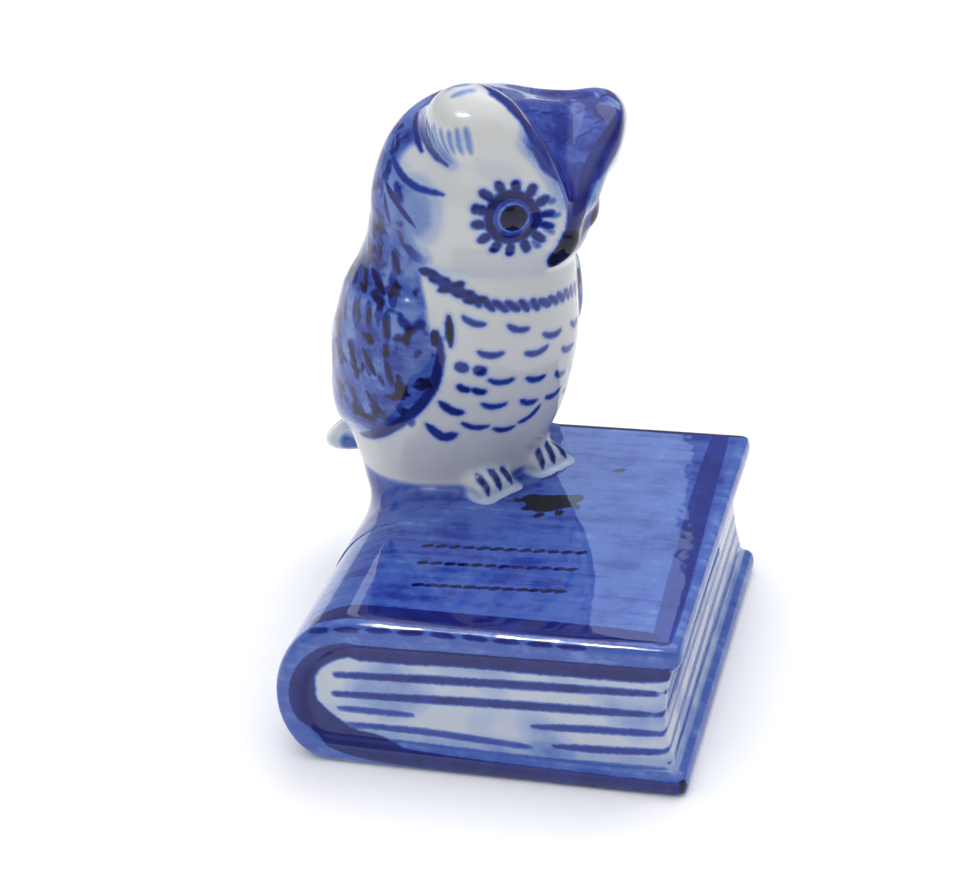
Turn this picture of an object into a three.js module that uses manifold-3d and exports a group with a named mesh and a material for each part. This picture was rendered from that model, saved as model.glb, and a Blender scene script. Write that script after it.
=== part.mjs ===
// An owl perched on a thick closed book: a small hollow figurine of glazed porcelain.
// Units are millimetres and +Z is up. The origin is the middle of the book's underside.
// X runs from the book's spine to its fore-edge, and Y from its near end to its far end.
// The owl is built in a frame of its own: X forward, Y to its left, Z up from the book's top.
import * as THREE from 'three';
import { mergeVertices } from 'three/addons/utils/BufferGeometryUtils.js';
import Module from 'manifold-3d';

const wasm = await Module();
wasm.setup();

// --- Driving dimensions -------------------------------------------------------------------

// The book
const bookWidth = 40;            // back of the spine to the edge of the top board
const bookLength = 44.2;         // near end to far end
const bookHeight = 16.5;         // table to the top of the upper board
const boardThickness = 2.4;      // upper and lower cover boards
const spineThickness = 3;        // wall of the round spine
const spineTopReach = 9.5;       // how far the spine's upper curve reaches over the top
const spineFootReach = 5;        // how far its lower, tighter curve reaches under the book
const spineBulgeHeight = 6.8;    // height of the spine's outermost line
const lowerBoardLedge = 0.4;     // how far the lower board stands out past the upper one
const lipRadius = 0.8;           // glaze-softened edge round the boards
const pageInset = 0.7;           // pages stand this far behind the boards at each end
const foreEdgeInset = 0.8;       // pages stand this far behind the upper board's edge
const foreEdgeHollow = 0.9;      // depth of the hollow down the middle of the fore-edge

// Casting
const slipJoint = 0.3;           // seam of slip between two pieces luted together
const castWall = 2.4;            // wall of the hollow castings
const ventRadius = 4.2;          // air way from the book's hollow to the body's
const neckRadius = 3.6;          // air way from the body's hollow to the head's
const drainRadius = 4;           // hole in the underside that the slip is poured out of

// The owl's place on the book
const owlX = -bookWidth / 2 + 11.5;  // its axis in from the back of the spine
const owlY = bookLength / 2 - 9.6;   // and in from the far end
const owlTurn = -32.5;           // degrees from straight at the fore-edge, towards the near end

// The owl's body
const bodyHeight = 30;           // book top to the top of the shoulders, inside the nape
const bodyDepth = 24.6;          // breast to back at its fullest
const bodyWidth = 23.4;          // side to side at its fullest, without the wings
const baseSink = 5;              // how far the base runs down over the spine's curve
const wingThickness = 1.1;       // relief of the wings on the body

// The owl's head
const headDepth = 22.4;
const headWidth = 23;
const headHeight = 19.6;
const headForward = bodyDepth / 2 - 8.4;  // centre of the head in front of the body's axis
const headAside = 0.8;           // and to the left of it
const headCentreHeight = bodyHeight + 1.2;  // centre of the head above the book's top
const headRoll = -15;            // degrees, the left ear held lower than the right
const discDepth = 0.7;           // dish of the face round each eye
const dishDroop = 0.18;          // how far the dishes face down, as a slope
const neckSetback = 1.5;         // air way of the neck behind the head's centre

// Small pieces
const earSpread = headWidth / 2 - 1.3;   // ear tip out from the middle of the head
const earRise = headHeight / 2 - 1.2;    // ear tip above the middle of the head
const earRadius = 3.3;
const beakLength = 8.4;
const beakRadius = 1.9;
const tailReach = bodyDepth / 2 + 7.9;   // tail tip behind the body's axis
const tailRise = -0.4;           // middle of the tail above the book's top
const tailDroop = 20;            // degrees that it slopes down behind
const tailWidth = 14.6;
const tailThickness = 4.2;
const footSpread = 3.9;          // middle of each foot out from the owl's middle
const footForward = bodyDepth / 2 - 6.7;  // middle of each foot in front of the body's axis
const footRadius = 2.4;
const toeLength = 2.8;
const toeRadius = 0.85;
const toeSpread = [1, 1.5, 1.75];  // outer toes out from the middle one: root, knuckle and tip
const toeRise = [0.9, 1.0, 0.5];   // and each toe above the book's top

// --- Glazes -------------------------------------------------------------------------------

const glaze = (color) => new THREE.MeshStandardMaterial({ color, roughness: 0.15, metalness: 0 });
const whiteGlaze = glaze(0xe9e7e4);
const washGlaze = glaze(0x5a6cc0);
const cobaltGlaze = glaze(0x2b2f8a);
const inkGlaze = glaze(0x16123a);

// --- Solids -------------------------------------------------------------------------------

function solidOf(geometry) {
  const bare = geometry.clone();
  bare.deleteAttribute('normal');
  bare.deleteAttribute('uv');
  const merged = mergeVertices(bare, 1e-4);
  return new wasm.Manifold(new wasm.Mesh({
    numProp: 3,
    vertProperties: Float32Array.from(merged.attributes.position.array),
    triVerts: Uint32Array.from(merged.index.array),
  }));
}

function geometryOf(solid) {
  const mesh = solid.getMesh();
  const geometry = new THREE.BufferGeometry();
  geometry.setAttribute('position', new THREE.BufferAttribute(mesh.vertProperties, 3));
  geometry.setIndex(new THREE.BufferAttribute(mesh.triVerts, 1));
  geometry.computeVertexNormals();
  return geometry;
}

function piece(name, solid, material) {
  const mesh = new THREE.Mesh(geometryOf(solid), material);
  mesh.name = name;
  return mesh;
}

// Moves every vertex of a geometry to the place that a function gives for it.
function reshape(geometry, placeOf) {
  const positions = geometry.attributes.position;
  const vertex = new THREE.Vector3();
  for (let i = 0; i < positions.count; i += 1) {
    vertex.fromBufferAttribute(positions, i);
    placeOf(vertex);
    positions.setXYZ(i, vertex.x, vertex.y, vertex.z);
  }
  return geometry;
}

// A round bar that runs up Z from one height to another.
function uprightBar(x, y, radius, bottom, top) {
  const bar = new THREE.CylinderGeometry(radius, radius, top - bottom, 20);
  bar.rotateX(Math.PI / 2);
  bar.translate(x, y, (bottom + top) / 2);
  return solidOf(bar);
}

function ball(centre, radii, across = 24, high = 16) {
  const sphere = new THREE.SphereGeometry(1, across, high);
  sphere.rotateX(Math.PI / 2);
  sphere.scale(radii[0], radii[1], radii[2]);
  sphere.translate(centre[0], centre[1], centre[2]);
  return solidOf(sphere);
}

// A soft rolled shape along a curve, fat where its radii are large and closed at both ends.
// Radii are given at even steps of the path.
function rolledLobe(points, radii, grow = 0, across = 12, along = 18) {
  const path = new THREE.CatmullRomCurve3(points.map((p) => new THREE.Vector3(...p)));
  const radiusCurve = new THREE.SplineCurve(radii.map((r, i) => new THREE.Vector2(i, r)));
  const lobe = new THREE.SphereGeometry(1, across, along);
  lobe.rotateX(Math.PI / 2);
  const side = new THREE.Vector3();
  const rise = new THREE.Vector3();
  return solidOf(reshape(lobe, (v) => {
    const share = THREE.MathUtils.clamp(0.5 + v.z / 2, 0, 1);
    const centre = path.getPoint(share);
    const ahead = path.getTangent(share);
    side.set(0, 0, 1).cross(ahead).normalize();
    rise.copy(ahead).cross(side).normalize();
    const radius = radiusCurve.getPoint(share).y + grow;
    const roundEnd = Math.max(0, Math.abs(v.z) - 0.7) / 0.3;
    const closing = Math.sqrt(Math.max(0, 1 - roundEnd ** 2));
    const turn = Math.atan2(v.y, v.x);
    const pole = Math.hypot(v.x, v.y) < 1e-6 ? 0 : closing;
    centre.addScaledVector(side, Math.cos(turn) * radius * pole);
    centre.addScaledVector(rise, Math.sin(turn) * radius * pole);
    centre.addScaledVector(ahead, Math.sign(v.z) * roundEnd * (radius * 0.5 + grow));
    v.copy(centre);
  }));
}

// --- Book ---------------------------------------------------------------------------------

const spineBack = -bookWidth / 2;
const upperBoardEdge = bookWidth / 2;
const lowerBoardEdge = upperBoardEdge + lowerBoardLedge;
const pageTop = bookHeight - boardThickness - slipJoint;
const pageFoot = boardThickness + slipJoint;

const corner = (x, z) => new THREE.Vector2(x, z);

// The round of the spine, grown or shrunk by an offset: down from the top to the underside.
function spineRound(offset) {
  const middle = spineBulgeHeight;
  const round = new THREE.Path();
  round.absellipse(spineBack + spineTopReach, middle,
    spineTopReach + offset, bookHeight - middle + offset, Math.PI / 2, Math.PI, false);
  round.absellipse(spineBack + spineFootReach, middle,
    spineFootReach + offset, middle + offset, Math.PI, Math.PI * 1.5, false);
  return round.getPoints(10);
}

// The round of the spine's inner wall, cut off level with the faces of the two boards.
function innerRound(offset, low, high) {
  return spineRound(offset).map((p) => corner(p.x, THREE.MathUtils.clamp(p.y, low, high)));
}

function bookOutline(offset) {
  return new THREE.Shape([
    corner(upperBoardEdge + offset, bookHeight + offset),
    ...spineRound(offset),
    corner(lowerBoardEdge + offset, -offset),
  ]);
}

// Extrudes an outline drawn in X and Z along the length of the book.
function alongBook(outline, length, edgeRadius) {
  const bar = new THREE.ExtrudeGeometry(outline, {
    depth: length - 2 * edgeRadius,
    bevelEnabled: edgeRadius > 0,
    bevelThickness: edgeRadius,
    bevelSize: edgeRadius,
    bevelOffset: -edgeRadius,
    bevelSegments: 3,
    curveSegments: 14,
  });
  bar.translate(0, 0, -(length - 2 * edgeRadius) / 2);
  bar.rotateX(Math.PI / 2);
  return solidOf(bar);
}

// The outline is the cover of an upper board, a round spine and a lower board, open at the pages.
function coverOutline() {
  return new THREE.Shape([
    corner(upperBoardEdge, bookHeight),
    ...spineRound(0),
    corner(lowerBoardEdge, 0),
    corner(lowerBoardEdge, boardThickness),
    ...innerRound(-spineThickness, boardThickness, bookHeight - boardThickness).reverse(),
    corner(upperBoardEdge, bookHeight - boardThickness),
  ]);
}

function pageOutline() {
  const edge = upperBoardEdge - foreEdgeInset;
  const hollow = new THREE.QuadraticBezierCurve(
    corner(edge, pageFoot),
    corner(edge - 2 * foreEdgeHollow, (pageTop + pageFoot) / 2),
    corner(edge, pageTop),
  );
  return new THREE.Shape([
    ...innerRound(-spineThickness - slipJoint, pageFoot, pageTop),
    ...hollow.getPoints(10),
  ]);
}

const drainX = bookWidth / 5;
const drainY = -bookLength / 5;

const ventBar = uprightBar(owlX, owlY, ventRadius, bookHeight / 2, bookHeight * 1.5);
const drainBar = uprightBar(drainX, drainY, drainRadius, -bookHeight / 2, bookHeight / 2);

function bookCover() {
  return alongBook(coverOutline(), bookLength, lipRadius).subtract(ventBar).subtract(drainBar);
}

function pageBlock() {
  const pages = alongBook(pageOutline(), bookLength - 2 * pageInset, 0);
  const solidEnds = 3.4 * castWall;
  const hollow = new THREE.BoxGeometry(
    bookWidth - spineThickness - foreEdgeInset - foreEdgeHollow - solidEnds,
    bookLength - 2 * pageInset - 2 * castWall,
    pageTop - pageFoot - 2 * castWall,
  );
  hollow.translate(0, 0, (pageTop + pageFoot) / 2);
  return pages.subtract(solidOf(hollow)).subtract(ventBar).subtract(drainBar);
}

// --- Owl's body ---------------------------------------------------------------------------

// Each row gives a height above the book's top as a share of the body's height, then how far
// the section's centre leans forward, and its half depth and half width, as shares of the
// body's own half depth and half width.
const bodyRows = [
  [-0.17, -0.08, 0.68, 0.82],
  [-0.03, -0.18, 0.73, 0.82],
  [0.05, -0.20, 0.76, 0.83],
  [0.13, -0.20, 0.86, 0.88],
  [0.25, -0.15, 0.96, 0.95],
  [0.37, -0.09, 0.99, 0.98],
  [0.50, -0.03, 1.00, 1.00],
  [0.63, 0.04, 0.93, 0.97],
  [0.77, 0.11, 0.87, 0.91],
  [0.88, 0.16, 0.78, 0.85],
  [1.00, 0.24, 0.53, 0.60],
];

// Smooth value of one column of the rows at a height share.
function rowValue(rows, share, column) {
  let i = 0;
  while (i < rows.length - 2 && rows[i + 1][0] < share) i += 1;
  const low = rows[Math.max(i - 1, 0)];
  const from = rows[i];
  const to = rows[i + 1];
  const high = rows[Math.min(i + 2, rows.length - 1)];
  const span = to[0] - from[0];
  const t = THREE.MathUtils.clamp((share - from[0]) / span, 0, 1);
  const slopeFrom = (to[column] - low[column]) / (to[0] - low[0]) * span;
  const slopeTo = (high[column] - from[column]) / (high[0] - from[0]) * span;
  return from[column] * (2 * t ** 3 - 3 * t ** 2 + 1) + slopeFrom * (t ** 3 - 2 * t ** 2 + t)
    + to[column] * (3 * t ** 2 - 2 * t ** 3) + slopeTo * (t ** 3 - t ** 2);
}

// The point of the body's surface at a turn from straight ahead and a height, moved outwards.
function bodyPoint(turn, height, outwards, target) {
  const share = THREE.MathUtils.clamp(height, -baseSink, bodyHeight) / bodyHeight;
  const lean = rowValue(bodyRows, share, 1) * bodyDepth / 2;
  const halfDepth = rowValue(bodyRows, share, 2) * bodyDepth / 2 + outwards;
  const halfWidth = rowValue(bodyRows, share, 3) * bodyWidth / 2 + outwards;
  return target.set(lean + Math.cos(turn) * halfDepth, Math.sin(turn) * halfWidth, height);
}

function bodyForm(grow, across = 40, high = 18) {
  const foot = -baseSink - grow;
  const top = bodyHeight + grow;
  const form = new THREE.CylinderGeometry(1, 1, top - foot, across, high);
  form.rotateX(Math.PI / 2);
  form.translate(0, 0, (foot + top) / 2);
  const middle = new THREE.Vector3();
  return solidOf(reshape(form, (v) => {
    const share = Math.hypot(v.x, v.y);
    bodyPoint(0, v.z, grow, middle).add(bodyPoint(Math.PI, v.z, grow, new THREE.Vector3()));
    middle.multiplyScalar(0.5);
    bodyPoint(Math.atan2(v.y, v.x), v.z, grow, v).sub(middle).multiplyScalar(share).add(middle);
  }));
}

// --- Owl's head ---------------------------------------------------------------------------

// Sets a solid made round the middle of the head in its place over the body.
function onHead(solid) {
  return solid.rotate([headRoll, 0, 0]).translate([headForward, headAside, headCentreHeight]);
}

function headForm(grow, across = 36, high = 22) {
  const radii = [headDepth / 2 + grow, headWidth / 2 + grow, headHeight / 2 + grow];
  return onHead(ball([0, 0, 0], radii, across, high));
}

// Air way through the neck, from the hollow of the body to that of the head.
const neckBar = uprightBar(headForward - neckSetback, headAside, neckRadius, bodyHeight / 2, headCentreHeight);

const eyeSpread = 5.6;
const dishRadius = 13;

// The dished cheeks that the eyes are painted on.
function faceDishes() {
  const reach = headDepth / 2 - discDepth + dishRadius;
  return [-1, 1].map((sideOfFace) => {
    const outward = new THREE.Vector3(1, sideOfFace * eyeSpread / (headDepth / 2), -dishDroop).normalize();
    return onHead(ball(outward.multiplyScalar(reach).toArray(), [dishRadius, dishRadius, dishRadius], 36, 22));
  }).reduce((a, b) => a.add(b));
}

function browForm(sideOfFace, grow) {
  const front = headDepth / 2;
  return onHead(rolledLobe([
    [front * 0.40, sideOfFace * earSpread, earRise],
    [front * 0.66, sideOfFace * earSpread * 0.80, earRise * 0.84],
    [front * 0.88, sideOfFace * earSpread * 0.42, earRise * 0.56],
    [front * 1.02, sideOfFace * (beakRadius + slipJoint), earRise * 0.14],
  ], [earRadius * 0.62, earRadius, earRadius * 0.52, 0.9], grow));
}

function beakForm(grow) {
  const front = headDepth / 2;
  return onHead(rolledLobe([
    [front * 1.00, 0, beakLength * 0.02],
    [front * 1.01, 0, -beakLength * 0.2],
    [front * 0.98, 0, -beakLength * 0.42],
    [front * 0.90, 0, -beakLength * 0.66],
  ], [beakRadius * 0.7, beakRadius, beakRadius * 0.9, beakRadius * 0.4], grow));
}

function owlHead() {
  const hollow = headForm(-castWall, 20, 12).add(neckBar);
  return headForm(0).subtract(hollow);
}

// --- Assembly -----------------------------------------------------------------------------

// The book's block in the owl's frame, grown by the seam, for cutting what stands on it.
const bookClearance = alongBook(bookOutline(slipJoint), bookLength * 2, 0)
  .translate([-owlX, -owlY, -bookHeight])
  .rotate([0, 0, -owlTurn]);

const bodyGrown = bodyForm(slipJoint);
const headGrown = headForm(slipJoint);

function owlBody() {
  const hollow = bodyForm(-castWall, 20, 8)
    .subtract(ball([0, 0, -baseSink], [bodyDepth, bodyDepth, baseSink + castWall]))
    .add(uprightBar(0, 0, ventRadius, -bookHeight, bodyHeight / 2))
    .add(neckBar);
  return bodyForm(0).subtract(headGrown).subtract(hollow).subtract(bookClearance);
}

// Outline of the right wing: degrees round the body from straight ahead, and height on a
// body that is wingChartHeight tall.
const wingChartHeight = 30;
const wingOutline = [
  [-60, 21.5], [-56, 18], [-59, 14], [-68, 10.8], [-82, 8.2], [-102, 6], [-130, 4.2],
  [-154, 3.6], [-170, 5.6], [-174, 12], [-168, 19], [-140, 23.5], [-100, 24.2], [-74, 23.2],
];

// A wing is a low pillow laid on the body: flat behind, swelling out from its outline.
function wingForm(sideOfBody, grow) {
  const degree = Math.PI / 180;
  const rim = new THREE.SplineCurve([...wingOutline, wingOutline[0]].map(([angle, height]) => (
    corner(-sideOfBody * angle * degree, height * bodyHeight / wingChartHeight))));
  const heart = rim.getPoints(40).slice(0, -1)
    .reduce((sum, p) => sum.addScaledVector(p, 1 / 40), corner(0, 0));
  const pillow = new THREE.SphereGeometry(1, 40, 14);
  pillow.rotateX(Math.PI / 2);
  return solidOf(reshape(pillow, (v) => {
    const turn = Math.atan2(v.y, v.x) / (2 * Math.PI);
    const edge = rim.getPoint(((sideOfBody < 0 ? -turn : turn) + 1) % 1);
    const share = Math.hypot(v.x, v.y) * (1 + grow / bodyWidth * 2);
    const spot = heart.clone().lerp(edge, share);
    const swell = v.z > 0 ? slipJoint + wingThickness * Math.min(1, v.z * 1.6) + grow : slipJoint - grow;
    bodyPoint(spot.x, spot.y, swell, v);
  }));
}

function wing(sideOfBody) {
  return wingForm(sideOfBody, 0).subtract(headGrown).subtract(bookClearance);
}

function tail() {
  const wingsGrown = wingForm(-1, slipJoint).add(wingForm(1, slipJoint));
  const length = tailReach - bodyDepth * 0.32;
  const lobe = ball([0, 0, 0], [length / 2, tailWidth / 2, tailThickness / 2], 28, 16)
    .rotate([0, -tailDroop, 0])
    .translate([-tailReach + length / 2, 0, tailRise]);
  return lobe.subtract(bodyGrown).subtract(wingsGrown).subtract(bookClearance);
}

function foot(sideOfBody) {
  const y = sideOfBody * footSpread;
  let lobe = ball([footForward, y, 0.6], [footRadius * 1.3, footRadius, footRadius * 0.85], 16, 10);
  [-1, 0, 1].forEach((toe) => {
    lobe = lobe.add(rolledLobe([
      [footForward, y + toe * toeSpread[0], toeRise[0]],
      [footForward + toeLength * 0.6, y + toe * toeSpread[1], toeRise[1]],
      [footForward + toeLength, y + toe * toeSpread[2], toeRise[2]],
    ], [toeRadius, toeRadius, toeRadius], 0, 8, 8));
  });
  return lobe.subtract(bodyGrown).subtract(bookClearance);
}

const group = new THREE.Group();
group.add(piece('book_cover', bookCover(), washGlaze));
group.add(piece('page_block', pageBlock(), whiteGlaze));

const owl = new THREE.Group();
owl.position.set(owlX, owlY, bookHeight);
owl.rotation.z = owlTurn * Math.PI / 180;
owl.add(piece('owl_body', owlBody(), whiteGlaze));
owl.add(piece('owl_head', owlHead().subtract(faceDishes()), whiteGlaze));
owl.add(piece('right_wing', wing(-1), washGlaze));
owl.add(piece('left_wing', wing(1), washGlaze));
owl.add(piece('right_brow', browForm(-1, 0).subtract(headGrown), cobaltGlaze));
owl.add(piece('left_brow', browForm(1, 0).subtract(headGrown), cobaltGlaze));
const brows = browForm(-1, slipJoint).add(browForm(1, slipJoint));
owl.add(piece('beak', beakForm(0).subtract(headGrown).subtract(brows), inkGlaze));
owl.add(piece('tail', tail(), whiteGlaze));
owl.add(piece('right_foot', foot(-1), whiteGlaze));
owl.add(piece('left_foot', foot(1), whiteGlaze));
group.add(owl);

export default group;
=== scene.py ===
# %% [markdown]
# # A blue and white porcelain owl on a book
#
# The ornament is slip-cast porcelain, hollow and luted together from castings, painted with
# cobalt and then dipped in one clear glaze. So the eye sees one soft skin over everything: no
# joint is sharp, and every painted stroke bleeds a little at its edge.
#
# The lesson goes in that order: read the castings, melt them into one skin, paint it, cut it
# back into its named pieces, give it glaze, and light it. Lengths are worked in millimetres and
# become metres when a piece is made.

# %% Load the castings
import bpy
import math
import numpy as np
import openvdb
from mathutils import Matrix, Vector, noise
from mathutils.bvhtree import BVHTree


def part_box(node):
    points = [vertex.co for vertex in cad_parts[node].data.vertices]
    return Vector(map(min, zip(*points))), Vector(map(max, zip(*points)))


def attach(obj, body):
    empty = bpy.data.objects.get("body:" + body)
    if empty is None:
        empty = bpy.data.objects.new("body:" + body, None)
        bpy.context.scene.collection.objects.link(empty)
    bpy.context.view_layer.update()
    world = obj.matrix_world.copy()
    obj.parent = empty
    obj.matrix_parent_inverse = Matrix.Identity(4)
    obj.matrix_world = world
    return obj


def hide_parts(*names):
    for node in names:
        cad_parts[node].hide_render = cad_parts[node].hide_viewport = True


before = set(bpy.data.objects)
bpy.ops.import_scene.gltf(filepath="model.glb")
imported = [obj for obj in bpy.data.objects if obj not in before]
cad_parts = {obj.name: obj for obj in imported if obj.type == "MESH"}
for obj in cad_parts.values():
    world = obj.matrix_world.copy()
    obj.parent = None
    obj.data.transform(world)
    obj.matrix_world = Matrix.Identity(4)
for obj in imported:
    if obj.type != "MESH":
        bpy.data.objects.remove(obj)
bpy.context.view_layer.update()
print("castings:", ", ".join(sorted(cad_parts)))

# %% [markdown]
# ## Where the owl stands
#
# Everything painted on the owl is easier to place in its own frame: forward along the beak,
# left along its left wing, and up from the book. Its head has a frame too, because it is rolled
# to one side. Both are found from the castings' boxes, with only the two turns named here.

# %% The owl's frame and the head's
OWL_TURN = math.radians(-32.5)
HEAD_ROLL = math.radians(-15)
HEAD_FORWARD, HEAD_ASIDE = 3.9, 0.8


def box_mm(node):
    low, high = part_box(node)
    return np.array(low) * 1000, np.array(high) * 1000


forward = np.array([math.cos(OWL_TURN), math.sin(OWL_TURN), 0.0])
leftward = np.array([-math.sin(OWL_TURN), math.cos(OWL_TURN), 0.0])
upward = np.array([0.0, 0.0, 1.0])
head_left = leftward * math.cos(HEAD_ROLL) + upward * math.sin(HEAD_ROLL)
head_up = upward * math.cos(HEAD_ROLL) - leftward * math.sin(HEAD_ROLL)

cover_low, cover_high = box_mm("book_cover")
BOOK_TOP = cover_high[2]
head_middle = sum(box_mm("owl_head")) / 2
owl_foot = head_middle - forward * HEAD_FORWARD - leftward * HEAD_ASIDE
owl_foot[2] = BOOK_TOP
owl_axes = np.stack([forward, leftward, upward])
head_axes = np.stack([forward, head_left, head_up])


def in_owl(points):
    return (points - owl_foot) @ owl_axes.T


def in_head(points):
    return (points - head_middle) @ head_axes.T


def from_owl(points):
    return np.asarray(points, float) @ owl_axes + owl_foot


def from_head(points):
    return np.asarray(points, float) @ head_axes + head_middle


def put(name, data):
    thing = bpy.data.objects.new(name, data)
    bpy.context.collection.objects.link(thing)
    return thing


print("head", np.round(head_middle, 1), "owl stands at", np.round(owl_foot, 1))

# %% [markdown]
# ## Melting the castings together
#
# Slip and glaze fill every joint, so a boolean union would look too sharp. Instead each casting
# is measured as a field of distances on a fine grid. Fields are easy to join softly, to blur as
# glaze does, and to turn back into a mesh. OpenVDB, which comes with Blender, does the
# measuring and the meshing, and numpy does the rest.

# %% A grid and the distance of every point from a casting
REACH = 12  # grid steps of distance that are kept on each side of a surface


def castings_mesh(node):
    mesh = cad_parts[node].data
    spots = np.empty(len(mesh.vertices) * 3, np.float32)
    mesh.vertices.foreach_get("co", spots)
    mesh.calc_loop_triangles()
    corners = np.empty(len(mesh.loop_triangles) * 3, np.int32)
    mesh.loop_triangles.foreach_get("vertices", corners)
    merged, back = np.unique(np.round(spots.reshape(-1, 3) * 1000, 3), axis=0, return_inverse=True)
    return merged, back.reshape(-1)[corners].reshape(-1, 3)


class Grid:
    def __init__(self, low, high, step):
        self.low = np.array(low, float)
        self.step = step
        self.shape = tuple(int(math.ceil((b - a) / step)) + 1 for a, b in zip(low, high))

    def distance(self, node):
        spots, corners = castings_mesh(node)
        level = openvdb.FloatGrid.createLevelSetFromPolygons(
            ((spots - self.low) / self.step).astype(np.float32),
            triangles=corners.astype(np.uint32),
            transform=openvdb.createLinearTransform(voxelSize=1.0), halfWidth=REACH)
        field = np.full(self.shape, float(REACH), np.float32)
        level.copyToArray(field, ijk=(0, 0, 0))
        return field * self.step

    def axis(self, i):
        along = self.low[i] + np.arange(self.shape[i]) * self.step
        return along.reshape([-1 if k == i else 1 for k in range(3)]).astype(np.float32)

    def places(self):
        return [self.axis(i) for i in range(3)]

    def sample(self, field, points):
        at = np.clip((points - self.low) / self.step, 0, np.array(self.shape) - 1.001)
        base = at.astype(int)
        part = at - base
        total = np.zeros(len(points))
        for corner in np.ndindex(2, 2, 2):
            share = np.prod(np.where(corner, part, 1 - part), axis=1)
            total += share * field[tuple((base + corner).T)]
        return total


# %% Joining softly, blurring and filling the hollows
def join(a, b, softness):
    meet = np.clip(0.5 + 0.5 * (b - a) / softness, 0, 1)
    return b + (a - b) * meet - softness * meet * (1 - meet)


def carve(a, b, softness):
    return -join(-a, -b, softness)


def blur(field, spread):
    """Blurs a field by a spread in grid steps, as glaze rounds off an edge."""
    half = int(3 * spread)
    taps = np.exp(-0.5 * (np.arange(-half, half + 1) / spread) ** 2)
    taps /= taps.sum()
    for axis in range(3):
        field = np.moveaxis(field, axis, 0)
        padded = np.concatenate([field[:1]] * half + [field] + [field[-1:]] * half)
        blurred = sum(t * padded[i:i + len(field)] for i, t in enumerate(taps))
        field = np.moveaxis(blurred, 0, axis)
    return np.ascontiguousarray(field, dtype=np.float32)


def fill_hollows(field, coarse=3):
    """Makes solid whatever the outside air can't reach from the top of the grid."""
    free = field[::coarse, ::coarse, ::coarse] > 0.3
    air = np.zeros_like(free)
    air[:, :, -1] = free[:, :, -1]
    while True:
        grown = air.copy()
        for axis in range(3):
            a, g = np.moveaxis(air, axis, 0), np.moveaxis(grown, axis, 0)
            g[1:] |= a[:-1]
            g[:-1] |= a[1:]
        grown &= free
        if grown.sum() == air.sum():
            break
        air = grown
    shut = free & ~air
    for axis in range(3):
        s = np.moveaxis(shut, axis, 0)
        wide = s.copy()
        wide[1:] |= s[:-1]
        wide[:-1] |= s[1:]
        shut = np.moveaxis(wide, 0, axis)
    shut = shut.repeat(coarse, 0).repeat(coarse, 1).repeat(coarse, 2)
    shut = shut[tuple(slice(0, n) for n in field.shape)]
    field[shut] = field.min()
    return field


# %% [markdown]
# ## The owl's skin
#
# The head is pressed flat between its two brows, like a little roof that runs down to the beak.
# The casting has only the round head and the two brow rolls, so the roof is carved here. The
# eyes swell very slightly in their dished discs. Where the owl meets the book the two fields
# are joined with a wide softness, which gives the flared ring of slip round its base.

# %% Build the owl's field
OWL_NODES = ["owl_body", "owl_head", "right_wing", "left_wing", "right_brow", "left_brow",
             "beak", "tail", "right_foot", "left_foot"]
BOOK_NODES = ["book_cover", "page_block"]
OWL_STEP, BOOK_STEP = 0.22, 0.34
GLAZE_BLUR = 0.4   # mm of rounding that the glaze gives
FLARE = 1.5        # mm over which the owl's base melts into the book
TOE_FLARE = 0.4    # and its toes
FLARE_END = 1.3    # mm from the owl where the flare has run out
OWL_SHOWS = 0.035  # mm above the book where the owl's skin starts
BOOK_LIFT = 0.03   # mm that the book's own skin is raised, so that it hides that edge
BEAK_THINNED = 0.3
NAPE_SOFTNESS = 4.5  # added towards the back of the head, where it melts into the body
EYES = {side: np.array([9.6, 5.6 * side, -0.6]) for side in (-1, 1)}
SOFTNESS = {"owl_head": 0.6, "right_brow": 4.4, "left_brow": 2.4, "tail": 1.2, "beak": 1.6,
            "right_foot": 1.0, "left_foot": 1.0}  # mm over which a casting melts into the rest

owl_low = np.min([box_mm(n)[0] for n in OWL_NODES], axis=0) - 1.6
owl_high = np.max([box_mm(n)[1] for n in OWL_NODES], axis=0) + 1.6
owl_low[2] -= 2
owl_grid = Grid(owl_low, owl_high, OWL_STEP)
x, y, z = owl_grid.places()
head_x, head_y, head_z = [
    (x - head_middle[0]) * a[0] + (y - head_middle[1]) * a[1] + (z - head_middle[2]) * a[2]
    for a in head_axes]

owl_fields = {node: owl_grid.distance(node) for node in OWL_NODES}
owl_fields["beak"] += BEAK_THINNED
roof = 0.848 * head_x + 0.53 * head_z - 9.7 + 0.008 * head_y ** 2
head = carve(owl_fields["owl_head"], roof, 0.8)
crest = carve(roof - 0.1, -0.3 * head_x + 0.954 * head_z - 7.6, 1.6)
for side in (-1, 1):
    overhang = 0.396 * head_x + 0.693 * side * head_y - 0.603 * head_z - 5.3
    crest = carve(crest, overhang, 1.6)
    crest = carve(crest, 0.93 * side * head_y - 0.37 * head_x - 8.2, 2.0)
head = join(head, carve(crest, -3 - head_x, 3.0), 1.2)


def rod(start, end, radius):
    """Distance to a round bar between two places in the head's frame."""
    run = np.subtract(end, start)
    spot = [head_x - start[0], head_y - start[1], head_z - start[2]]
    share = np.clip(sum(s * r for s, r in zip(spot, run)) / (run @ run), 0, 1)
    return np.sqrt(sum((s - share * r) ** 2 for s, r in zip(spot, run))) - radius


# a roll of slip fills the saddle between the crown and the left ear
head = join(head, rod((-1.5, 4.0, 7.0), (3.6, 8.6, 8.0), 2.0), 2.4)
# and another spreads the root of the right ear back over the crown
head = join(head, rod((2.2, -8.2, 7.4), (5.6, -9.4, 8.0), 2.1), 2.6)
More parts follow.
